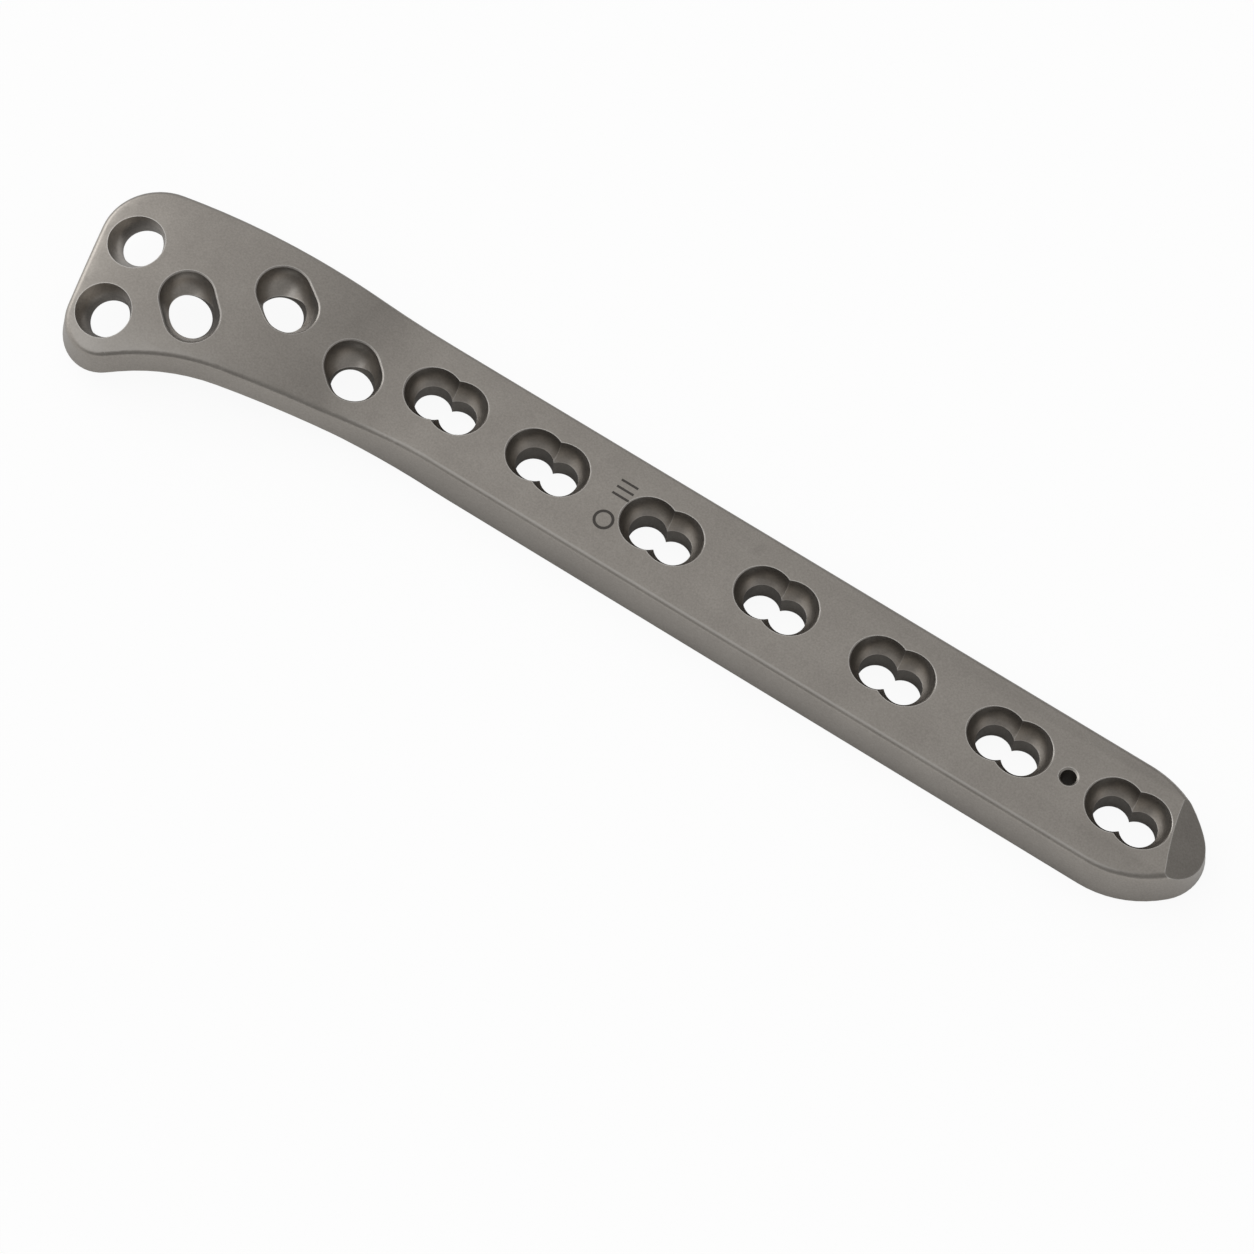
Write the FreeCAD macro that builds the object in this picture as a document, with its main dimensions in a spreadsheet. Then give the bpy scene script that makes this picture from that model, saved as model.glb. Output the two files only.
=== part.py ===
"""Bone plate: a locking compression plate in one piece of titanium alloy, in millimetres.

X runs along the shaft, from the flared head (-X) to the bullet-shaped tail (+X). Y runs across
it, and the head flares towards -Y. Z is up, out of the face that the screws enter. The origin is
the bottom centre of the plate's box, and the two long edges of the shaft rest on Z = 0.
The blank is the plan outline with drafted sides. Its top is crowned across the plate and follows
the bend of neck and head, and its hollow underside has a bend of its own, which thins the head.
"""
import FreeCAD, Part
import math
import os
import re
import Sketcher
from FreeCAD import Vector

# name: (value, what it measures); lengths in millimetres, angles in degrees
DIMENSIONS = {
    "overall_length": (171.75, "head end to tail tip"),
    "head_width": (30.6, "far edge of the shaft to the lowest point of the flare"),
    "shaft_width": (18.3, "across the shaft at its underside"),
    "shaft_thickness": (6.0, "underside to top on the shaft's centre line"),
    "side_draft": (7.0, "lean of the side walls, wider below"),
    "crown_radius": (60.0, "arc of the top face across the plate"),
    "hollow_radius": (56.0, "arc of the underside across the plate"),
    "top_edge_radius": (0.9, "rounding between top face and sides"),
    "base_edge_break": (0.3, "chamfer between underside and sides"),
    "head_side_run": (37.65, "head end to where the far edge starts to curve"),
    "head_side_radius": (165.0, "far edge beside the head"),
    "far_corner_radius": (9.2, "upper corner of the head"),
    "near_corner_radius": (6.6, "lower corner of the head, at the flare"),
    "head_end_lean": (13.5, "lean of the head's end edge"),
    "flank_angle": (32.0, "edge of the flare beside its corner"),
    "flare_radius": (40.0, "hollow between flare and neck"),
    "neck_angle": (13.0, "near edge of the neck"),
    "neck_side_radius": (65.0, "hollow between neck and shaft"),
    "neck_side_run": (57.15, "head end to where the near edge starts to widen"),
    "shoulder_radius": (16.0, "sides of the bullet-shaped tail"),
    "tip_radius": (6.5, "end of the tail"),
    "facet_reach": (5.3, "tail tip to the facet's top line, on the centre line"),
    "facet_slope": (34.0, "slope of the facet on the tail tip"),
    "facet_skew": (18.7, "turn of the facet away from square"),
    "crest_from_end": (15.65, "head end to the crest of the head"),
    "crest_rise": (3.16, "crest of the head above the shaft's top"),
    "head_bend_radius": (124.0, "top face over the head, along the plate"),
    "neck_bend_radius": (62.0, "top face where the neck starts to rise"),
    "neck_under_radius": (66.0, "underside where the neck starts to rise"),
    "head_thickness": (3.8, "underside to top of the head"),
    "last_hole_from_tail": (12.0, "tail tip to the last combination hole"),
    "hole_pitch": (18.0, "between combination holes"),
    "first_pitch": (16.2, "between the first two combination holes"),
    "head_run": (53.1, "head end to the nearest place for a combination hole"),
    "row_offset": (0.4, "row of holes off the shaft's centre line, to +Y"),
    "lobe_spacing": (3.9, "between the two lobes of a combination hole"),
    "screw_bore_radius": (2.55, "bore of each lobe"),
    "lock_bowl_radius": (3.95, "ball seat of the lobe towards the head"),
    "slide_bowl_radius": (4.05, "ball seat of the lobe towards the tail"),
    "bowl_lift": (0.2, "centre of a ball seat above the top face"),
    "rim_break": (0.15, "broken edge round each screw hole"),
    "wire_bore_radius": (1.1, "hole for a guide wire"),
    "wire_rim_break": (0.25, "broken edge of the wire hole"),
    "head_bore_radius": (2.95, "bores of the screw holes in head and neck"),
    "cone_rim_radius": (3.9, "top of the conical seats at the head's end"),
    "cone_depth": (2.2, "depth of the conical seats"),
    "angled_bore_top": (1.0, "top face to where a leaning bore starts inside its seat"),
    "angled_bowl_radius": (3.75, "ball seat of the angled screw holes"),
}

# the screw holes of the head and of the neck: where the seat is, how the bore leans, as its lean
# from Z along X and along Y, and for three of them the slot that the seat follows
HEAD_HOLES = {
    "end_upper": (6.85, 17.35, -6.0, -15.0),
    "end_lower": (8.85, 6.65, -8.6, -13.8),
    "head_inner": (18.25, 13.08, 29.0, -12.1, 2.8, -42.0, 1.74, -0.64),
}
NECK_HOLES = {
    "neck_upper": (28.35, -0.06, 17.9, 10.8, 2.5, -34.0, 0.83, -0.31),
    "neck_lower": (41.05, -3.1, -4.9, 11.6, 1.3, -40.0, 0.1, -0.1),
}
HOLE_SIZES = (
    ("from_end", "head end to the seat"),
    ("across", "seat off the shaft's centre line"),
    ("bore_along", "lean of the bore along X"),
    ("bore_across", "lean of the bore along Y"),
    ("slot_length", "between the two ends of the ball seat"),
    ("slot_turn", "direction of the slot, from X"),
    ("shift_along", "bore off the middle of the slot, along X"),
    ("shift_across", "bore off the middle of the slot, along Y"),
)
HEAD_HOLE_SIZES = (HOLE_SIZES[0], ("from_flare", "seat in from the flare's lowest point")) + HOLE_SIZES[2:]
# how far cuts and sweeps run past the metal
FREE = 3.0
OVER = 0.3
BLANK_TOP = 14.0
BLANK_BELOW = 1.0
SWEEP_HALF_WIDTH = 25.0
SAME = 0.001
FACET_RUN = 10.0
BLANK_ACROSS = 40.0
START, END, MIDDLE = 1, 2, 3
# turns that stand a sketch up along X, with its own Y pointing up
UPRIGHT = ("X", 90)


def new_sheet(doc):
    """The driving dimensions, one row each."""
    rows = [(name, value, note) for name, (value, note) in DIMENSIONS.items()]
    for holes, measures in ((HEAD_HOLES, HEAD_HOLE_SIZES), (NECK_HOLES, HOLE_SIZES)):
        for hole, values in holes.items():
            rows += [(f"{hole}_{measure}", value, f"{hole.replace('_', ' ')} hole: {note}")
                     for (measure, note), value in zip(measures, values)]
    sheet = doc.addObject("Spreadsheet::Sheet", "sizes")
    for row, (name, value, note) in enumerate(rows, start=1):
        sheet.set(f"A{row}", name)
        sheet.set(f"B{row}", str(value))
        sheet.set(f"C{row}", note)
        sheet.setAlias(f"B{row}", name)
    doc.recompute()
    return sheet


doc = FreeCAD.newDocument("bone_plate")
sizes = new_sheet(doc)
body = doc.addObject("PartDesign::Body", "plate_body")
body.Label = "bone_plate"


def formula(text):
    """An expression on the sheet: each dimension in the text gets the sheet's name before it."""
    return re.sub(r"\b([a-z]+(?:_[a-z]+)+)\b", r"sizes.\1", text)


def size(text):
    """The value of a dimension, or of a formula of dimensions."""
    return float(body.evalExpression(formula(text)))


def frame_of(x, y, z, *turns):
    """A placement as a formula: a point, then turns about an axis, each as (axis, angle)."""
    axes = {"X": "1; 0; 0", "Y": "0; 1; 0", "Z": "0; 0; 1"}
    spins = " * ".join(f"create(<<rotation>>; create(<<vector>>; {axes[axis]}); {angle})"
                       for axis, angle in turns)
    return f"create(<<placement>>; create(<<vector>>; {x}; {y}; {z}); {spins})"


def new_sketch(name, frame):
    """A sketch on the body's base plane, moved and turned by a frame given as a formula."""
    sketch = body.newObject("Sketcher::SketchObject", name)
    plane = next(f for f in body.Origin.OriginFeatures if f.Role == "XY_Plane")
    sketch.AttachmentSupport = [(plane, "")]
    sketch.MapMode = "FlatFace"
    sketch.setExpression("AttachmentOffset", formula(frame))
    doc.recompute()
    return sketch


def new_feature(kind, name, **settings):
    """A solid feature on top of the body so far. A text setting is bound as a formula."""
    feature = body.newObject(f"PartDesign::{kind}", name)
    for key, value in settings.items():
        if key in ("Length", "Length2", "TaperAngle", "TaperAngle2", "Radius", "Size", "Occurrences",
                   "Angle"):
            feature.setExpression(key, formula(value))
        else:
            setattr(feature, key, value)
    return feature


def bind(sketch, kind, *arguments, start, to):
    """Add a constraint at its starting value and bind it to a formula."""
    index = sketch.addConstraint(Sketcher.Constraint(kind, *arguments, start))
    sketch.setExpression(f"Constraints[{index}]", formula(to))


def hold(sketch, geometry, position, x=None, y=None):
    """Hold a point of a sketch at formulas for its distances from the sketch's origin."""
    if x is not None:
        bind(sketch, "DistanceX", -1, START, geometry, position, start=size(x), to=x)
    if y is not None:
        bind(sketch, "DistanceY", -1, START, geometry, position, start=size(y), to=y)


def closed_profile(sketch, corners, arcs=None):
    """A closed profile through corners given as formulas. An edge named in arcs is an arc, as
    {edge number: (x and y of its centre, radius)}, and takes the shorter way round."""
    points = [Vector(size(x), size(y), 0) for x, y in corners]
    first = []
    for i, (p, q) in enumerate(zip(points, points[1:] + points[:1])):
        first.append(START)
        if i in (arcs or {}):
            x, y, radius = (size(text) for text in arcs[i])
            begin, finish = (math.atan2(e.y - y, e.x - x) for e in (p, q))
            if finish - begin > math.pi:
                begin += 2 * math.pi
            if begin - finish > math.pi:
                finish += 2 * math.pi
            circle = Part.Circle(Vector(x, y, 0), Vector(0, 0, 1), radius)
            arc = Part.ArcOfCircle(circle, min(begin, finish), max(begin, finish))
            sketch.addGeometry(arc, False)
            # arcs run anticlockwise, so one that is drawn the other way starts at its END
            first[i] = START if begin < finish else END
        else:
            sketch.addGeometry(Part.LineSegment(p, q), False)
    for i, (x, y) in enumerate(corners):
        before = (i - 1) % len(corners)
        joint = Sketcher.Constraint("Coincident", before, START + END - first[before], i, first[i])
        sketch.addConstraint(joint)
        hold(sketch, i, first[i], x, y)
    for i, (_, _, radius) in (arcs or {}).items():
        bind(sketch, "Radius", i, start=size(radius), to=radius)
    return sketch


def heading(degrees):
    return Vector(math.cos(math.radians(degrees)), math.sin(math.radians(degrees)), 0)


def outward(degrees):
    """The unit vector to the right of a heading, which leads out of an outline drawn leftwards."""
    return heading(degrees - 90)


def heading_of(vector):
    return math.degrees(math.atan2(vector.y, vector.x))


def bend(centre, radius, heading_in, heading_out):
    """An arc that starts along one heading and ends along another, with whether it runs backwards
    in the sketch: arcs there run anticlockwise, and an outline drawn leftwards bulges with those."""
    side = -90 if heading_out > heading_in else 90
    first, last = sorted((heading_in + side, heading_out + side))
    circle = Part.Circle(centre, Vector(0, 0, 1), radius)
    return Part.ArcOfCircle(circle, math.radians(first), math.radians(last)), side > 0


def straight(start, end):
    return Part.LineSegment(start, end), False


def tangent_loop(sketch, pieces):
    """Add lines and arcs in order, each joined to the next by a tangent at their shared end."""
    numbers = [sketch.addGeometry(curve, False) for curve, _ in pieces]
    ends = [(START, END) if backwards else (END, START) for _, backwards in pieces]
    for i in range(len(pieces)):
        j = (i + 1) % len(pieces)
        joint = Sketcher.Constraint("Tangent", numbers[i], ends[i][0], numbers[j], ends[j][1])
        sketch.addConstraint(joint)
    return numbers


HALF_LENGTH = "overall_length / 2"
HEAD_END = "(-overall_length / 2)"
FAR_EDGE = "head_width / 2"
NEAR_EDGE = "(head_width / 2 - shaft_width)"
CENTRE_LINE = "(head_width / 2 - shaft_width / 2)"
FOOT_HALF_WIDTH = f"(shaft_width / 2 - {BLANK_BELOW} * tan(side_draft))"
RESTS_ON = f"({FOOT_HALF_WIDTH} - base_edge_break)"
HOLLOW_RISE = f"(hollow_radius - sqrt(hollow_radius ^ 2 - {RESTS_ON} ^ 2))"
CREST = f"({HEAD_END} + crest_from_end)"
SHAFT_TOP = f"({HOLLOW_RISE} + shaft_thickness)"


def plan_outline():
    """The outline at the underside, drawn leftwards round the plate from the tail's far shoulder:
    far edge, head, flare, neck, near edge and the bullet-shaped tail."""
    sketch = new_sketch("plan_outline", frame_of(0, 0, -BLANK_BELOW, ("Z", 0)))
    half, far, near = size(HALF_LENGTH), size(FAR_EDGE), size(NEAR_EDGE)
    side_radius, far_radius = size("head_side_radius"), size("far_corner_radius")
    near_radius, flare_radius = size("near_corner_radius"), size("flare_radius")
    neck_radius, shoulder_radius = size("neck_side_radius"), size("shoulder_radius")
    tip_radius = size("tip_radius")
    lean, flank, neck = 270 + size("head_end_lean"), 360 + size("flank_angle"), 360 + size("neck_angle")

    side = Vector(size("head_side_run") - half, far - side_radius, 0)
    far_x = -half + far_radius
    far_y = side.y + math.sqrt((side_radius - far_radius) ** 2 - (far_x - side.x) ** 2)
    far_corner = Vector(far_x, far_y, 0)
    side_turn = heading_of(far_corner - side) + 90
    run = (-size(FAR_EDGE) + near_radius - far_y
           - (far_radius - near_radius) * outward(lean).y) / heading(lean).y
    near_corner = far_corner + outward(lean) * (far_radius - near_radius) + heading(lean) * run

    neck_hollow = Vector(size("neck_side_run") - half, near - neck_radius, 0)
    on_flank = near_corner + outward(flank) * (near_radius + flare_radius)
    on_neck = neck_hollow + outward(neck) * (flare_radius - neck_radius)
    gap = on_neck - on_flank
    step = (gap.x * heading(neck).y - gap.y * heading(neck).x) / (
        heading(flank).x * heading(neck).y - heading(flank).y * heading(neck).x)
    flare_hollow = on_flank + heading(flank) * step

    tip = Vector(half - tip_radius, size(CENTRE_LINE), 0)
    shoulder_y = near + shoulder_radius
    shoulder_x = tip.x - math.sqrt((shoulder_radius - tip_radius) ** 2 - (tip.y - shoulder_y) ** 2)
    near_shoulder = Vector(shoulder_x, shoulder_y, 0)
    far_shoulder = Vector(shoulder_x, far - shoulder_radius, 0)
    tip_turn = heading_of(tip - near_shoulder) + 90

    pieces = [
        straight(Vector(shoulder_x, far, 0), Vector(side.x, far, 0)),
        bend(side, side_radius, 180, side_turn),
        bend(far_corner, far_radius, side_turn, lean),
        straight(far_corner + outward(lean) * far_radius, near_corner + outward(lean) * near_radius),
        bend(near_corner, near_radius, lean, flank),
        straight(near_corner + outward(flank) * near_radius,
                 flare_hollow - outward(flank) * flare_radius),
        bend(flare_hollow, flare_radius, flank, neck),
        straight(flare_hollow - outward(neck) * flare_radius,
                 neck_hollow - outward(neck) * neck_radius),
        bend(neck_hollow, neck_radius, neck, 360),
        straight(Vector(neck_hollow.x, near, 0), Vector(shoulder_x, near, 0)),
        bend(near_shoulder, shoulder_radius, 360, 360 + tip_turn),
        bend(tip, tip_radius, 360 + tip_turn, 540 - tip_turn),
        bend(far_shoulder, shoulder_radius, 540 - tip_turn, 540),
    ]
    (far_line, side_arc, far_arc, end_line, near_arc, flank_line, flare_arc, neck_line, neck_arc,
     near_line, near_shoulder_arc, tip_arc, far_shoulder_arc) = tangent_loop(sketch, pieces)
    for line in (far_line, near_line):
        sketch.addConstraint(Sketcher.Constraint("Horizontal", line))
    for arc, radius in ((side_arc, "head_side_radius"), (far_arc, "far_corner_radius"),
                        (near_arc, "near_corner_radius"), (flare_arc, "flare_radius"),
                        (neck_arc, "neck_side_radius"), (near_shoulder_arc, "shoulder_radius"),
                        (tip_arc, "tip_radius"), (far_shoulder_arc, "shoulder_radius")):
        bind(sketch, "Radius", arc, start=size(radius), to=radius)
    for line, angle in ((end_line, "head_end_lean - 90"), (flank_line, "flank_angle"),
                        (neck_line, "neck_angle")):
        bind(sketch, "Angle", line, start=math.radians(size(angle)), to=angle)
    hold(sketch, far_line, START, y=FAR_EDGE)
    hold(sketch, near_line, START, y=NEAR_EDGE)
    hold(sketch, side_arc, MIDDLE, x=f"{HEAD_END} + head_side_run")
    hold(sketch, far_arc, MIDDLE, x=f"{HEAD_END} + far_corner_radius")
    hold(sketch, near_arc, MIDDLE, y=f"near_corner_radius - {FAR_EDGE}")
    hold(sketch, neck_arc, MIDDLE, x=f"{HEAD_END} + neck_side_run")
    hold(sketch, tip_arc, MIDDLE, x=f"{HALF_LENGTH} - tip_radius", y=CENTRE_LINE)
    return sketch


def across(hole):
    """How far a seat of head or neck lies off the shaft's centre line, as a formula."""
    if hole in NECK_HOLES:
        return f"{hole}_across"
    return f"({hole}_from_flare - head_width + shaft_width / 2)"


def on_top(hole):
    """The point of the top face at a seat of head or neck, and the face's leans there along X and
    along Y, as formulas. Over the head the face bends down and away, and up the neck it is hollow."""
    past_crest = f"({hole}_from_end - crest_from_end)"
    both = "(head_bend_radius + neck_bend_radius)"
    reach = f"sqrt({both} ^ 2 - ({both} - crest_rise) ^ 2)"
    crown = f"crown_radius + sqrt(crown_radius ^ 2 - {across(hole)} ^ 2)"
    if size(past_crest) < size(f"{reach} * head_bend_radius / {both}"):
        height = f"crest_rise - head_bend_radius + sqrt(head_bend_radius ^ 2 - {past_crest} ^ 2)"
        along = f"asin({past_crest} / head_bend_radius)"
    else:
        up_neck = f"({reach} - {past_crest})"
        height = f"neck_bend_radius - sqrt(neck_bend_radius ^ 2 - {up_neck} ^ 2)"
        along = f"asin({up_neck} / neck_bend_radius)"
    point = (f"{HEAD_END} + {hole}_from_end", f"{CENTRE_LINE} + {across(hole)}",
             f"{SHAFT_TOP} + {height} - {crown}")
    return point, along, f"asin({across(hole)} / crown_radius)"


def turned(name, profile, axis="V_Axis"):
    """Cut the profile turned all the way round its own vertical axis."""
    return new_feature("Groove", name, Profile=profile, ReferenceAxis=(profile, [axis]), Angle="360")


def ball_seat(name, frame, ball, bore, below, lift="bowl_lift"):
    """A screw hole with a ball-shaped seat and a broken rim, cut round the frame's upright axis,
    whose origin is on the top face."""
    rim = f"sqrt({ball} ^ 2 - ({lift} + rim_break) ^ 2)"
    corners = [
        ("0", f"-{below}"), (bore, f"-{below}"),
        (bore, f"{lift} - sqrt({ball} ^ 2 - {bore} ^ 2)"),
        (rim, "-rim_break"), (f"{rim} + rim_break + {OVER}", str(OVER)),
        (f"{rim} + rim_break + {OVER}", str(FREE)), ("0", str(FREE)),
    ]
    profile = closed_profile(new_sketch(f"{name}_profile", frame), corners, {2: ("0", lift, ball)})
    return turned(name, profile)


def check_cut(feature):
    """A cut that points the wrong way removes nothing, and one that fails can leave nothing, and
    neither gives an error."""
    doc.recompute()
    before, after = feature.BaseFeature.Shape.Volume, feature.Shape.Volume
    if not feature.Shape.isValid() or not before / 2 < after < before - 0.1:
        raise RuntimeError(f"{feature.Name} does not cut as it should: {before} -> {after}")


# the blank
outline = plan_outline()
blank = new_feature("Pad", "blank", Profile=outline, Length=f"{BLANK_TOP} + {BLANK_BELOW}",
                    TaperAngle="-side_draft")


class Bend:
    """The line of the top or the underside along the plate, as formulas: level over the shaft,
    a hollow bend up the neck, and a round one over the head about a centre of its own."""

    def __init__(self, level, climb, round_radius, hollow_radius):
        self.level, self.round, self.hollow = level, round_radius, hollow_radius
        both = f"({round_radius} + {hollow_radius})"
        self.turn = f"acos(({both} - {climb}) / {both})"
        self.start = f"({CREST} + {both} * sin({self.turn}))"
        self.round_centre = f"({SHAFT_TOP} + crest_rise - head_bend_radius)"


def cut_face(name, bend, arc, beyond):
    """Cut away all that is beyond the face that follows the bend, with an arc for its section:
    a pocket over the shaft, a groove up the neck and one over the head."""
    width = str(SWEEP_HALF_WIDTH)
    edge = f"sqrt({arc} ^ 2 - {width} ^ 2) - {arc}"
    corners = [(width, edge), (width, beyond), (f"-{width}", beyond), (f"-{width}", edge)]
    if size(beyond) < 0:
        corners = [(f"-{width}", edge), (f"-{width}", beyond), (width, beyond), (width, edge)]
    centre = {3: ("0", f"-{arc}", arc)}
    over_head = f"{bend.round_centre} + {bend.round} * cos({bend.turn})"
    frames = (
        ("shaft", frame_of(bend.start, CENTRE_LINE, bend.level, ("Z", 90), UPRIGHT)),
        ("neck", frame_of(bend.start, CENTRE_LINE, bend.level, ("Z", 90), UPRIGHT)),
        ("head", frame_of(f"{CREST} + {bend.round} * sin({bend.turn})", CENTRE_LINE, over_head,
                          ("Y", bend.turn), ("Z", 90), UPRIGHT)),
    )
    sections = {part: closed_profile(new_sketch(f"{name}_{part}_section", frame), corners, centre)
                for part, frame in frames}
    over_shaft = new_feature("Pocket", f"{name}_over_shaft", Profile=sections["shaft"],
                             Length=f"{HALF_LENGTH} + {FREE} - {bend.start}", Reversed=True)
    check_cut(over_shaft)
    turn_line(sections["neck"], bend.hollow)
    over_neck = new_feature("Groove", f"{name}_over_neck", Profile=sections["neck"],
                            ReferenceAxis=(sections["neck"], ["Axis0"]), Angle=bend.turn)
    check_cut(over_neck)
    turn_line(sections["head"], f"-{bend.round}")
    end_turn = f"asin((crest_from_end + {FREE}) / {bend.round})"
    over_head = new_feature("Groove", f"{name}_over_head", Profile=sections["head"],
                            ReferenceAxis=(sections["head"], ["Axis0"]),
                            Angle=f"{bend.turn} + {end_turn}", Reversed=True)
    check_cut(over_head)


def turn_line(sketch, height):
    """A construction line across a section at a height, for a groove to turn about."""
    level = size(height)
    line = Part.LineSegment(Vector(-1, level, 0), Vector(1, level, 0))
    number = sketch.addGeometry(line, True)
    hold(sketch, number, START, "-1", height)
    hold(sketch, number, END, "1", height)


cut_face("top", Bend(SHAFT_TOP, "crest_rise", "head_bend_radius", "neck_bend_radius"),
         "crown_radius", str(BLANK_TOP))
cut_face("underside", Bend(HOLLOW_RISE, "(crest_rise + shaft_thickness - head_thickness)",
                           "(head_bend_radius - head_thickness)", "neck_under_radius"),
         "hollow_radius", f"-{BLANK_TOP}")


def side_edges(upward):
    """The edges between the side walls and the top, or with -1 those at the underside."""
    doc.recompute()
    shape = body.Tip.Shape
    chosen = []
    for number, edge in enumerate(shape.Edges, start=1):
        middle = edge.valueAt((edge.FirstParameter + edge.LastParameter) / 2)
        rises = []
        for face in shape.ancestorsOfType(edge, Part.Face):
            normal = face.normalAt(*face.Surface.parameter(middle))
            rises.append(normal.z * upward)
        if max(rises) > 0.7 and min(rises) < 0.3 and min(rises) > -0.3:
            chosen.append(f"Edge{number}")
    return body.Tip, chosen


check_cut(new_feature("Fillet", "top_edges", Base=side_edges(1), Radius="top_edge_radius"))
check_cut(new_feature("Chamfer", "base_edges", Base=side_edges(-1), Size="base_edge_break"))

# the facet on the tail tip: all above a skewed sloping plane
facet_frame = frame_of(f"{HALF_LENGTH} - facet_reach", CENTRE_LINE, SHAFT_TOP,
                       ("Z", "facet_skew"), UPRIGHT)
facet_profile = closed_profile(
    new_sketch("facet_profile", facet_frame),
    [(f"-{FREE}", f"{FREE} * tan(facet_slope)"),
     (str(FACET_RUN), f"-{FACET_RUN} * tan(facet_slope)"),
     (str(FACET_RUN), f"{FREE} * tan(facet_slope)")])
facet = new_feature("Pocket", "tail_facet", Profile=facet_profile, Length=str(BLANK_ACROSS),
                    SideType="Symmetric")
check_cut(facet)

# the combination holes: two overlapping ball seats each, patterned towards the head, as many as
# the shaft has room for
last_hole = f"{HALF_LENGTH} - last_hole_from_tail"
row = f"{CENTRE_LINE} + row_offset"
below = f"(shaft_thickness + {FREE})"
lobes = []
for name, side, ball in (("lock_lobe", "-", "lock_bowl_radius"),
                         ("slide_lobe", "+", "slide_bowl_radius")):
    frame = frame_of(f"{last_hole} {side} lobe_spacing / 2", row, SHAFT_TOP, UPRIGHT)
    lobes.append(ball_seat(name, frame, ball, "screw_bore_radius", below))
    check_cut(lobes[-1])

along = next(f for f in body.Origin.OriginFeatures if f.Role == "X_Axis")
first_place = "(overall_length - head_run - last_hole_from_tail)"
even_pitches = f"floor(({first_place} - first_pitch) / hole_pitch)"
for name, count, length in (("hole_row", f"{even_pitches} + 1", f"hole_pitch * {even_pitches}"),
                            ("first_hole", "2", f"hole_pitch * {even_pitches} + first_pitch")):
    row_pattern = new_feature("LinearPattern", name, Originals=lobes, Direction=(along, [""]),
                              Reversed=True, Length=length, Occurrences=count)
    body.Tip = row_pattern
    check_cut(row_pattern)

# the guide-wire hole, halfway between the last two combination holes
wire_frame = frame_of(f"{last_hole} - hole_pitch / 2", row, SHAFT_TOP, UPRIGHT)
wire_profile = closed_profile(
    new_sketch("wire_hole_profile", wire_frame),
    [("0", f"-{below}"), ("wire_bore_radius", f"-{below}"),
     ("wire_bore_radius", "-wire_rim_break"),
     (f"wire_bore_radius + wire_rim_break + {OVER}", str(OVER)),
     (f"wire_bore_radius + wire_rim_break + {OVER}", str(FREE)), ("0", str(FREE))])
check_cut(turned("wire_hole", wire_profile))

# the two conical seats at the head's end, each leaning as its bore does
for hole in ("end_upper", "end_lower"):
    (x, y, z), _, _ = on_top(hole)
    frame = frame_of(x, y, z, ("Y", f"{hole}_bore_along"), ("X", f"-{hole}_bore_across"), UPRIGHT)
    cone_slope = "(cone_rim_radius - head_bore_radius) / cone_depth"
    profile = closed_profile(
        new_sketch(f"{hole}_profile", frame),
        [("0", f"-{below}"), ("head_bore_radius", f"-{below}"),
         ("head_bore_radius", "-cone_depth"),
         (f"cone_rim_radius + {FREE} * {cone_slope}", str(FREE)), ("0", str(FREE))])
    check_cut(turned(hole, profile))


def rim_edges(radius, place):
    """The edges near a place where a seat of that radius meets the faces around it."""
    shape = body.Tip.Shape
    chosen = []
    for number, edge in enumerate(shape.Edges, start=1):
        seats = [abs(getattr(face.Surface, "Radius", 0) - radius) < SAME
                 for face in shape.ancestorsOfType(edge, Part.Face)]
        if seats.count(True) == 1 and (edge.CenterOfMass - place).Length < 2 * radius:
            chosen.append(f"Edge{number}")
    return body.Tip, chosen


# the three angled screw holes: a slot-shaped seat square to the face, with a ball's section all
# round, then a leaning bore
for hole in ("head_inner", "neck_upper", "neck_lower"):
    (x, y, z), along_face, across_face = on_top(hole)
    frame = frame_of(x, y, z, ("Y", along_face), ("X", f"-{across_face}"),
                     ("Z", f"{hole}_slot_turn"), UPRIGHT)
    end = f"{hole}_slot_length / 2"
    deep = "bowl_lift - angled_bowl_radius"
    profile = closed_profile(
        new_sketch(f"{hole}_seat_profile", frame),
        [(f"-{end} - angled_bowl_radius", "bowl_lift"), (f"-{end}", deep), (end, deep),
         (f"{end} + angled_bowl_radius", "bowl_lift")],
        {0: (f"-{end}", "bowl_lift", "angled_bowl_radius"),
         2: (end, "bowl_lift", "angled_bowl_radius")})
    turn_line(profile, "bowl_lift")
    seat = new_feature("Groove", f"{hole}_seat", Profile=profile, Angle="360",
                       ReferenceAxis=(profile, ["Axis0"]))
    check_cut(seat)
    broken_rim = rim_edges(size("angled_bowl_radius"), profile.Placement.Base)
    check_cut(new_feature("Chamfer", f"{hole}_rim", Base=broken_rim, Size="rim_break"))
    frame = frame_of(f"{x} + {hole}_shift_along", f"{y} + {hole}_shift_across", z,
                     ("Y", f"{hole}_bore_along"), ("X", f"-{hole}_bore_across"), UPRIGHT)
    profile = closed_profile(
        new_sketch(f"{hole}_bore_profile", frame),
        [("0", f"-{below}"), ("head_bore_radius", f"-{below}"),
         ("head_bore_radius", "-angled_bore_top"), ("0", "-angled_bore_top")])
    check_cut(turned(f"{hole}_bore", profile))

doc.recompute()
for item in doc.Objects:
    if "Invalid" in item.State or "Error" in item.State:
        raise RuntimeError(f"{item.Label} did not compute: {item.State}")
plate = body.Shape
if plate.isNull() or not plate.isValid() or len(plate.Solids) != 1:
    raise RuntimeError("the plate is not one valid solid")
os.makedirs("parts", exist_ok=True)
plate.exportStep("parts/bone_plate.step")
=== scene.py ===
"""Orthopedic bone plate of satin grey titanium, lying on a white studio table."""
import math
import bpy
from mathutils import Matrix, Vector

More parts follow.
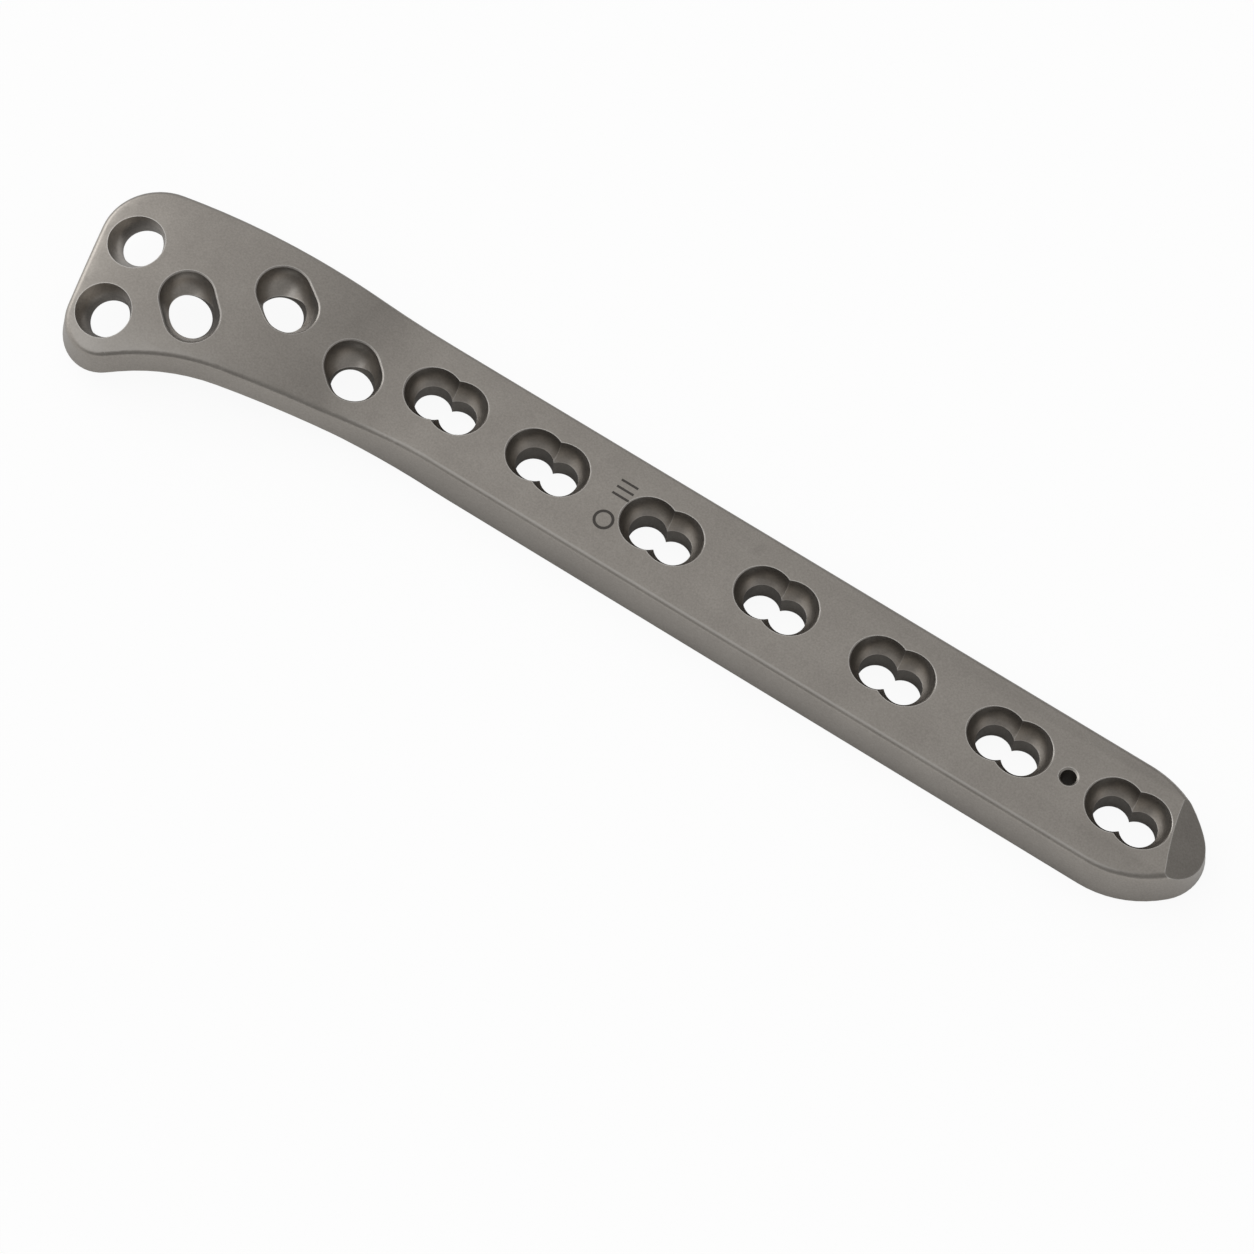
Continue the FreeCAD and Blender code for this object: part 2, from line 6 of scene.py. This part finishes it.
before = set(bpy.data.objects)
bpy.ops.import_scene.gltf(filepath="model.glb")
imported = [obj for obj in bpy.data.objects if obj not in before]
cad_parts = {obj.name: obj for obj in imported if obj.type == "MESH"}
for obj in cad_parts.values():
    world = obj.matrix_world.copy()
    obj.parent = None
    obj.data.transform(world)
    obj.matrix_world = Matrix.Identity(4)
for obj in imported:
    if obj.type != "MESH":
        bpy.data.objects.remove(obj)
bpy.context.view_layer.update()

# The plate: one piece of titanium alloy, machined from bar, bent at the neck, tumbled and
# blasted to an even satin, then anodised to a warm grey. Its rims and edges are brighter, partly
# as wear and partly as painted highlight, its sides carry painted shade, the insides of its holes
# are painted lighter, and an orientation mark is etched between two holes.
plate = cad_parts["bone_plate"]
MM = 0.001
WELD_GAP = 0.002 * MM
SMOOTH_ANGLE = math.radians(28)

weld = plate.modifiers.new("join_facets", "WELD")
weld.merge_threshold = WELD_GAP
plate.data.shade_smooth()
sharp = plate.modifiers.new("keep_machined_edges", "EDGE_SPLIT")
sharp.split_angle = SMOOTH_ANGLE
sharp.use_edge_sharp = False


def add_node(tree, kind, place, **settings):
    """A shader node at a place on the sheet, with its settings, and inputs given by name."""
    node = tree.nodes.new(kind)
    node.location = place
    for key, value in settings.items():
        if key in node.bl_rna.properties:
            setattr(node, key, value)
        else:
            node.inputs[key.replace("_", " ")].default_value = value
    return node


def wire(tree, node, *sources):
    """Feed a node's inputs in order, each from a socket or with a plain value; None is left."""
    for number, source in enumerate(sources):
        if isinstance(source, bpy.types.NodeSocket):
            tree.links.new(source, node.inputs[number])
        elif source is not None:
            node.inputs[number].default_value = source
    return node


def calc(tree, place, operation, *sources, clamp=False):
    """The value of a sum or comparison."""
    node = add_node(tree, "ShaderNodeMath", place, operation=operation, use_clamp=clamp)
    return wire(tree, node, *sources).outputs[0]


def ramp(tree, place, stops, source):
    """The output of a ramp of grey levels, as (position, level)."""
    node = add_node(tree, "ShaderNodeValToRGB", place)
    elements = node.color_ramp.elements
    while len(elements) < len(stops):
        elements.new(0.5)
    for element, (position, level) in zip(elements, stops):
        element.position = position
        element.color = (level, level, level, 1)
    return wire(tree, node, source).outputs["Color"]


def mix(tree, place, factor, first, second, blend="MIX"):
    """The colour between two colours, or their product."""
    node = add_node(tree, "ShaderNodeMix", place, data_type="RGBA", blend_type=blend)
    wire(tree, node, factor)
    for number, source in ((6, first), (7, second)):
        if isinstance(source, bpy.types.NodeSocket):
            tree.links.new(source, node.inputs[number])
        else:
            node.inputs[number].default_value = source
    return node.outputs[2]


def new_group(name, inputs):
    """An empty node group with named inputs and one output, a mask."""
    group = bpy.data.node_groups.new(name, "ShaderNodeTree")
    for label, kind, value in inputs:
        socket = group.interface.new_socket(label, in_out="INPUT", socket_type=kind)
        if value is not None:
            socket.default_value = value
    group.interface.new_socket("Mask", in_out="OUTPUT", socket_type="NodeSocketFloat")
    return group, add_node(group, "NodeGroupInput", (-1200, 0)), add_node(group, "NodeGroupOutput", (800, 0))


def wear_highlight_edge_group():
    """Where an edge stands, to brighten it partly as wear and partly as a painted highlight: the
    difference between the surface's own normal and one rounded over a small radius."""
    group, inputs, outputs = new_group("wear_highlight_edge", [
        ("Radius", "NodeSocketFloat", 0.3 * MM), ("Gain", "NodeSocketFloat", 3.0)])
    rounded = wire(group, add_node(group, "ShaderNodeBevel", (-900, 100), samples=6),
                   inputs.outputs["Radius"])
    own = add_node(group, "ShaderNodeNewGeometry", (-900, -150))
    dot = add_node(group, "ShaderNodeVectorMath", (-600, 0), operation="DOT_PRODUCT")
    wire(group, dot, rounded.outputs["Normal"], own.outputs["Normal"])
    turn = calc(group, (-300, 0), "SUBTRACT", 1.0, dot.outputs["Value"])
    kept = calc(group, (0, 0), "MULTIPLY", turn, inputs.outputs["Gain"], clamp=True)
    group.links.new(kept, outputs.inputs["Mask"])
    return group


def hairline_group():
    """A soft-edged line between two points: how near a place is to it."""
    group, inputs, outputs = new_group("hairline", [
        ("Place", "NodeSocketVector", None), ("Start", "NodeSocketVector", None),
        ("Along", "NodeSocketVector", None), ("Width", "NodeSocketFloat", 0.1 * MM)])

    def vectors(place, operation, *sources):
        node = add_node(group, "ShaderNodeVectorMath", place, operation=operation)
        return wire(group, node, *sources)

    start, along = inputs.outputs["Start"], inputs.outputs["Along"]
    offset = vectors((-950, 0), "SUBTRACT", inputs.outputs["Place"], start).outputs[0]
    reach = vectors((-750, 0), "DOT_PRODUCT", offset, along).outputs["Value"]
    length = vectors((-750, -200), "DOT_PRODUCT", along, along).outputs["Value"]
    share = calc(group, (-550, 0), "DIVIDE", reach, length, clamp=True)
    nearest = vectors((-350, 0), "SCALE", along)
    group.links.new(share, nearest.inputs["Scale"])
    away = vectors((-150, 0), "SUBTRACT", offset, nearest.outputs[0]).outputs[0]
    distance = vectors((50, 0), "LENGTH", away).outputs["Value"]
    scaled = calc(group, (250, 0), "DIVIDE", distance, inputs.outputs["Width"])
    group.links.new(calc(group, (500, 0), "SUBTRACT", 1.0, scaled, clamp=True), outputs.inputs["Mask"])
    return group


def ticks_and_ring_group():
    """An etched mark across the plate: a few short ticks above a ring, about its own centre."""
    group, inputs, outputs = new_group("ticks_and_ring", [
        ("Place", "NodeSocketVector", None), ("Centre", "NodeSocketVector", None)])
    tick_length, tick_pitch, tick_width, ticks_from, ticks_to = (
        2.6 * MM, 1.15 * MM, 0.36 * MM, 1.3 * MM, 4.75 * MM)
    ring_drop, ring_radius, ring_width = 2.6 * MM, 1.25 * MM, 0.4 * MM
    offset = add_node(group, "ShaderNodeVectorMath", (-1000, 0), operation="SUBTRACT")
    wire(group, offset, inputs.outputs["Place"], inputs.outputs["Centre"])
    split = wire(group, add_node(group, "ShaderNodeSeparateXYZ", (-800, 0)), offset.outputs[0])
    x, y = split.outputs["X"], split.outputs["Y"]
    within = calc(group, (-550, 300), "LESS_THAN", calc(group, (-700, 300), "ABSOLUTE", x),
                  tick_length / 2)
    row = calc(group, (-550, 150), "MODULO", calc(group, (-700, 150), "SUBTRACT", y, ticks_from),
               tick_pitch)
    thin = calc(group, (-400, 150), "LESS_THAN", row, tick_width)
    low = calc(group, (-550, 0), "GREATER_THAN", y, ticks_from)
    high = calc(group, (-550, -150), "LESS_THAN", y, ticks_to)
    span = calc(group, (-350, -50), "MULTIPLY", low, high)
    ticks = calc(group, (-150, 100), "MULTIPLY", calc(group, (-250, 200), "MULTIPLY", within, thin),
                 span)
    dropped = calc(group, (-700, -350), "ADD", y, ring_drop)
    squares = calc(group, (-400, -350), "ADD", calc(group, (-550, -300), "MULTIPLY", x, x),
                   calc(group, (-550, -450), "MULTIPLY", dropped, dropped))
    off_ring = calc(group, (-100, -350), "ABSOLUTE", calc(
        group, (-200, -350), "SUBTRACT", calc(group, (-300, -350), "SQRT", squares), ring_radius))
    ring = calc(group, (50, -350), "LESS_THAN", off_ring, ring_width / 2)
    group.links.new(calc(group, (400, 0), "ADD", ticks, ring, clamp=True), outputs.inputs["Mask"])
    return group


def use_group(tree, group, place, **values):
    node = add_node(tree, "ShaderNodeGroup", place)
    node.node_tree = group
    for name, value in values.items():
        if isinstance(value, bpy.types.NodeSocket):
            tree.links.new(value, node.inputs[name])
        else:
            node.inputs[name].default_value = value
    return node.outputs["Mask"]


titanium = bpy.data.materials.new("satin_titanium")
titanium.use_nodes = True
tree = titanium.node_tree
tree.nodes.clear()
link = tree.links.new
GREY_TITANIUM = (0.318, 0.295, 0.268, 1)
DARKER_PATCH = (0.292, 0.270, 0.245, 1)
# bright metal for worn rims and scratches, and for the painted highlights on edges
WORN_HIGHLIT_METAL = (0.66, 0.64, 0.61, 1)
ETCHED_DARK = (0.035, 0.032, 0.030, 1)
# levels of the painted shade on the sides and on the far side, and the full level
SIDE_TONE, FAR_TONE, FULL_TONE = 0.9, 0.6, 1.0
# painted light inside the holes
PAINTED_HOLLOW_LIGHT = (1.35, 1.35, 1.35, 1)
# the way that faces turn which get painted shade and no painted edge highlight
PAINTED_SHADE_SIDE = (-0.6, 0.8, 0.0)
HOLLOW_REACH = 6 * MM
EDGE_RADIUS, EDGE_GAIN = 0.25 * MM, 16.0
# shares of the edge wear and painted highlight, the painted highlight on the rolled edge, the scratches, the
# smudge and the etch
EDGE_WEAR_HIGHLIGHT_SHARE, ROLL_SHARE, SCRATCH_SHARE, SMUDGE_SHARE, ETCH_SHARE = 0.85, 0.3, 0.45, 0.12, 0.85
SMOOTHEST, ROUGHEST = 0.33, 0.39
BRUSHED_SHARE, RELIEF_STRENGTH, RELIEF_DEPTH = 0.35, 0.35, 0.02 * MM
CLOUD_SCALE, GRAIN_SCALE, BRUSHED_SCALE = 170.0, 3800.0, (260.0, 5200.0, 2600.0)
TOP_FACE = 0.9

surface = add_node(tree, "ShaderNodeOutputMaterial", (1500, 0))
metal = add_node(tree, "ShaderNodeBsdfPrincipled", (1200, 0), Metallic=1.0)
place = add_node(tree, "ShaderNodeTexCoord", (-1500, 0)).outputs["Object"]
facing = add_node(tree, "ShaderNodeNewGeometry", (-1500, 500)).outputs["Normal"]
facing_split = wire(tree, add_node(tree, "ShaderNodeSeparateXYZ", (-1300, 500)), facing)
# clouds a few millimetres wide from the blasting, and the fine grain that it leaves
clouds = add_node(tree, "ShaderNodeTexNoise", (-1000, 300), Scale=CLOUD_SCALE, Detail=5.0, Roughness=0.62)
grain = add_node(tree, "ShaderNodeTexNoise", (-1000, 0), Scale=GRAIN_SCALE, Detail=2.0, Roughness=0.6)
lines = add_node(tree, "ShaderNodeMapping", (-1200, -320))
lines.inputs["Scale"].default_value = BRUSHED_SCALE
brushing = add_node(tree, "ShaderNodeTexNoise", (-1000, -320), Scale=1.0, Detail=2.0)
for texture in (clouds, grain):
    link(place, texture.inputs["Vector"])
link(place, lines.inputs["Vector"])
link(lines.outputs["Vector"], brushing.inputs["Vector"])

cloudy = ramp(tree, (-780, 300), [(0.36, 0.0), (0.64, 1.0)], clouds.outputs["Fac"])
patches = mix(tree, (-480, 300), cloudy, DARKER_PATCH, GREY_TITANIUM)
grainy = ramp(tree, (-780, 0), [(0.3, 0.9), (0.7, 1.08)], grain.outputs["Fac"])
grained = mix(tree, (-260, 200), 1.0, patches, grainy, "MULTIPLY")
# painted shade: the outside is darker on its sides, most on the far side and the head's end;
# painted light: the insides of the holes, told by how open a place is, are lighter and skip that shade
airy = add_node(tree, "ShaderNodeAmbientOcclusion", (-700, 450), samples=8, only_local=True,
                Distance=HOLLOW_REACH).outputs["AO"]
outside = ramp(tree, (-480, 450), [(0.85, 0.0), (0.98, 1.0)], airy)
side_tone = ramp(tree, (-480, 600), [(0.3, SIDE_TONE), (0.62, FULL_TONE)], facing_split.outputs["Z"])
shade_side_facing = wire(tree, add_node(tree, "ShaderNodeVectorMath", (-700, 750), operation="DOT_PRODUCT"),
                facing, PAINTED_SHADE_SIDE).outputs["Value"]
far_tone = ramp(tree, (-480, 750), [(0.22, FULL_TONE), (0.6, FAR_TONE)], shade_side_facing)
painted_side_shade = mix(tree, (-250, 650), 1.0, side_tone, far_tone, "MULTIPLY")
# painted light inside the holes, painted shade on the outside
tone = mix(tree, (-80, 550), outside, PAINTED_HOLLOW_LIGHT, painted_side_shade)
toned = mix(tree, (0, 350), 1.0, grained, tone, "MULTIPLY")

# rims brightened partly as wear and partly as painted highlight, none on the painted-shade side,
# and a painted highlight along the line where the top of the shaft rolls over into its near side
edges = use_group(tree, wear_highlight_edge_group(), (-260, -80), Radius=EDGE_RADIUS, Gain=EDGE_GAIN)
# only upward edges, and none turned to the painted-shade side, get the painted highlight
upper = ramp(tree, (-480, -180), [(0.05, 0.0), (0.3, 1.0)], facing_split.outputs["Z"])
highlight_side = ramp(tree, (-480, -300), [(0.15, 1.0), (0.4, 0.0)], shade_side_facing)
near_edges = calc(tree, (-200, -180), "MULTIPLY", edges, calc(
    tree, (-350, -180), "MULTIPLY", upper, highlight_side))
kept_edges = calc(tree, (-60, -120), "MULTIPLY", near_edges, EDGE_WEAR_HIGHLIGHT_SHARE)
# painted highlight where the top rolls over into the near side
rolls = ramp(tree, (-780, 800), [(0.74, 0.0), (0.86, 1.0), (0.93, 1.0), (0.99, 0.0)],
             facing_split.outputs["Z"])
nearward = ramp(tree, (-780, 950), [(0.12, 0.0), (0.28, 1.0)], calc(
    tree, (-950, 950), "MULTIPLY", facing_split.outputs["Y"], -1.0))
square = ramp(tree, (-620, 1100), [(0.05, 1.0), (0.16, 0.0)], calc(
    tree, (-780, 1100), "ABSOLUTE", facing_split.outputs["X"]))
rolled = calc(tree, (-300, 900), "MULTIPLY", calc(tree, (-450, 900), "MULTIPLY", rolls, nearward),
              square)
roll_highlight = calc(tree, (-150, 900), "MULTIPLY", rolled, ROLL_SHARE)
edge_wear_highlight = calc(tree, (0, 500), "MAXIMUM", kept_edges, roll_highlight)
with_wear_highlight = mix(tree, (120, 250), edge_wear_highlight, toned, WORN_HIGHLIT_METAL)

# three faint scratches and a smudge, each from a start along a line
hairline = hairline_group()
SCRATCHES = (((-70.5, 9.5, 9.0), (1.3, -0.2, 0.1), 0.10), ((63.4, 13.2, 6.2), (1.3, -0.9, 0.1), 0.09),
             ((-30.0, 9.5, 6.6), (1.6, 1.1, 0.0), 0.08))
scratched = None
for number, (start, along, width) in enumerate(SCRATCHES):
    mask = use_group(tree, hairline, (-500, -600 - 200 * number), Place=place,
                     Start=[v * MM for v in start], Along=[v * MM for v in along], Width=width * MM)
    scratched = mask if scratched is None else calc(
        tree, (-250, -600 - 200 * number), "MAXIMUM", scratched, mask)
scratched = calc(tree, (-50, -700), "MULTIPLY", scratched, SCRATCH_SHARE)
marked = mix(tree, (320, 250), scratched, with_wear_highlight, WORN_HIGHLIT_METAL)
SMUDGE_START, SMUDGE_ALONG, SMUDGE_WIDTH = (13.6, 11.0, 6.6), (0.5, 1.2, 0.0), 0.8
smudge = use_group(tree, hairline, (-500, -1300), Place=place, Width=SMUDGE_WIDTH * MM,
                   Start=[v * MM for v in SMUDGE_START], Along=[v * MM for v in SMUDGE_ALONG])
smudged = mix(tree, (520, 250), calc(tree, (0, -1300), "MULTIPLY", smudge, SMUDGE_SHARE), marked,
              ETCHED_DARK)

# the etched mark, only on the top face
MARK_CENTRE = (-5.3, 6.2, 0.0)
mark = use_group(tree, ticks_and_ring_group(), (-500, -1600), Place=place,
                 Centre=[v * MM for v in MARK_CENTRE])
upward = calc(tree, (-250, -1750), "GREATER_THAN", facing_split.outputs["Z"], TOP_FACE)
etched = calc(tree, (0, -1600), "MULTIPLY", mark, upward)
etched_share = calc(tree, (200, -1600), "MULTIPLY", etched, ETCH_SHARE)
skin = mix(tree, (720, 250), etched_share, smudged, ETCHED_DARK)
link(skin, metal.inputs["Base Color"])

roughness = ramp(tree, (500, -120), [(0.3, SMOOTHEST), (0.7, ROUGHEST)], clouds.outputs["Fac"])
link(roughness, metal.inputs["Roughness"])
texture_height = add_node(tree, "ShaderNodeMix", (-480, -350), data_type="FLOAT")
texture_height.inputs[0].default_value = BRUSHED_SHARE
link(grain.outputs["Fac"], texture_height.inputs[2])
link(brushing.outputs["Fac"], texture_height.inputs[3])
relief = add_node(tree, "ShaderNodeBump", (800, -350), Strength=RELIEF_STRENGTH,
                  Distance=RELIEF_DEPTH)
link(texture_height.outputs[0], relief.inputs["Height"])
link(relief.outputs["Normal"], metal.inputs["Normal"])
link(metal.outputs["BSDF"], surface.inputs["Surface"])
for number in range(len(plate.material_slots)):
    plate.material_slots[number].material = titanium


# The table: a plain white sheet that the plate lies on. It looks white to the camera and in
# reflections, and keeps a faint shadow round the plate.
SHEET_SIZE = 4.0
PAPER = (0.8, 0.8, 0.8, 1)
SEEN_WHITE, SEEN_SHADE = 0.93, 0.07
SHADE_REACH = 14 * MM
bpy.ops.mesh.primitive_plane_add(size=SHEET_SIZE, location=(0, 0, 0))
table = bpy.context.object
table.name = "white_table"
paper = bpy.data.materials.new("white_sheet")
paper.use_nodes = True
sheet = paper.node_tree
sheet.nodes.clear()


out = add_node(sheet, "ShaderNodeOutputMaterial", (600, 0))
rays = add_node(sheet, "ShaderNodeLightPath", (-500, 400))
reflected = calc(sheet, (-200, 300), "MAXIMUM", rays.outputs["Is Glossy Ray"],
                 rays.outputs["Is Transmission Ray"])
looked_at = calc(sheet, (0, 400), "MAXIMUM", rays.outputs["Is Camera Ray"], reflected)
# in a reflection the sheet keeps the shade under and beside the plate
uncovered = add_node(sheet, "ShaderNodeAmbientOcclusion", (-700, -200), samples=8,
                     Distance=SHADE_REACH).outputs["AO"]
shaded = ramp(sheet, (-500, -200), [(0.25, 0.04), (0.95, 1.0)], uncovered)
level = calc(sheet, (-200, -200), "MAXIMUM", shaded, rays.outputs["Is Camera Ray"])
matt = add_node(sheet, "ShaderNodeBsdfDiffuse", (0, 100), Color=PAPER)
shade = add_node(sheet, "ShaderNodeBsdfDiffuse", (0, -60), Color=(SEEN_SHADE,) * 3 + (1,))
glow = wire(sheet, add_node(sheet, "ShaderNodeEmission", (0, -200)), None,
            calc(sheet, (-50, -320), "MULTIPLY", level, SEEN_WHITE))
seen = wire(sheet, add_node(sheet, "ShaderNodeAddShader", (200, -120)), shade.outputs[0],
            glow.outputs[0])
which = wire(sheet, add_node(sheet, "ShaderNodeMixShader", (400, 0)), looked_at,
             matt.outputs[0], seen.outputs[0])
sheet.links.new(which.outputs[0], out.inputs["Surface"])
table.data.materials.append(paper)

# The studio: a pale room, white to the camera. Its light comes mostly from a bright wall beyond
# the head of the plate and falls off towards the tail, with a soft box over the head's side.
world = bpy.data.worlds.new("pale_room")
bpy.context.scene.world = world
world.use_nodes = True
room = world.node_tree
room.nodes.clear()
BRIGHT_SIDE = Vector((-0.92, 0.08, 0.38)).normalized()
ROOM_STRENGTH = 3.0
WHITE = (1, 1, 1, 1)
# how bright the room is from its dark side, at 0, to its bright side, at 1
ROOM_LEVELS = [(0.08, 0.17), (0.32, 0.12), (0.63, 0.135), (0.67, 0.21), (0.725, 0.265),
               (0.76, 0.29), (0.82, 0.24), (0.86, 0.28), (0.91, 0.40), (0.97, 0.55)]
room_out = add_node(room, "ShaderNodeOutputWorld", (800, 0))
direction = add_node(room, "ShaderNodeTexCoord", (-800, -100)).outputs["Generated"]
towards = add_node(room, "ShaderNodeVectorMath", (-600, -100), operation="DOT_PRODUCT")
wire(room, towards, direction, BRIGHT_SIDE)
share = calc(room, (-400, -100), "MULTIPLY_ADD", towards.outputs["Value"], 0.5, 0.5)
level = ramp(room, (-200, -100), ROOM_LEVELS, share)
soft_wall = wire(room, add_node(room, "ShaderNodeBackground", (150, -100)), level, ROOM_STRENGTH)
white_wall = add_node(room, "ShaderNodeBackground", (150, 100), Color=WHITE, Strength=1.0)
room_rays = add_node(room, "ShaderNodeLightPath", (150, 400))
choose = wire(room, add_node(room, "ShaderNodeMixShader", (500, 0)),
              room_rays.outputs["Is Camera Ray"], soft_wall.outputs[0], white_wall.outputs[0])
room.links.new(choose.outputs[0], room_out.inputs["Surface"])


def soft_box(name, position, target, width, height, power):
    """A rectangular soft box that faces a point."""
    lamp = bpy.data.lights.new(name, "AREA")
    lamp.shape = "RECTANGLE"
    lamp.size, lamp.size_y, lamp.energy = width, height, power
    box = bpy.data.objects.new(name, lamp)
    bpy.context.scene.collection.objects.link(box)
    box.location = position
    box.rotation_mode = "QUATERNION"
    box.rotation_quaternion = (Vector(target) - Vector(position)).to_track_quat("-Z", "Y")


soft_box("soft_box_head_side", (-1.5, 0.35, 0.75), (0.0, 0.0, 0.0), 1.0, 1.0, 4.0)

# The camera looks down on the plate from its near side, 27 degrees off straight down, through a
# long lens.
AIM = Vector((0.00538, -0.00682, 0.00427))
AZIMUTH, ELEVATION, ROLL = (math.radians(a) for a in (28.10, 63.38, 5.83))
DISTANCE = 0.7810
FOCAL_LENGTH, SENSOR = 171.33, 36.0
camera_data = bpy.data.cameras.new("camera")
camera_data.lens, camera_data.sensor_width = FOCAL_LENGTH, SENSOR
camera_data.clip_start, camera_data.clip_end = 0.01, 20.0
camera = bpy.data.objects.new("camera", camera_data)
bpy.context.scene.collection.objects.link(camera)
turn = (Matrix.Rotation(AZIMUTH, 4, "Z") @ Matrix.Rotation(math.pi / 2 - ELEVATION, 4, "X")
        @ Matrix.Rotation(ROLL, 4, "Z"))
back = turn.to_3x3() @ Vector((0, 0, 1))
camera.matrix_world = Matrix.Translation(AIM + back * DISTANCE) @ turn
bpy.context.scene.camera = camera

bpy.context.scene.view_settings.view_transform = "Standard"
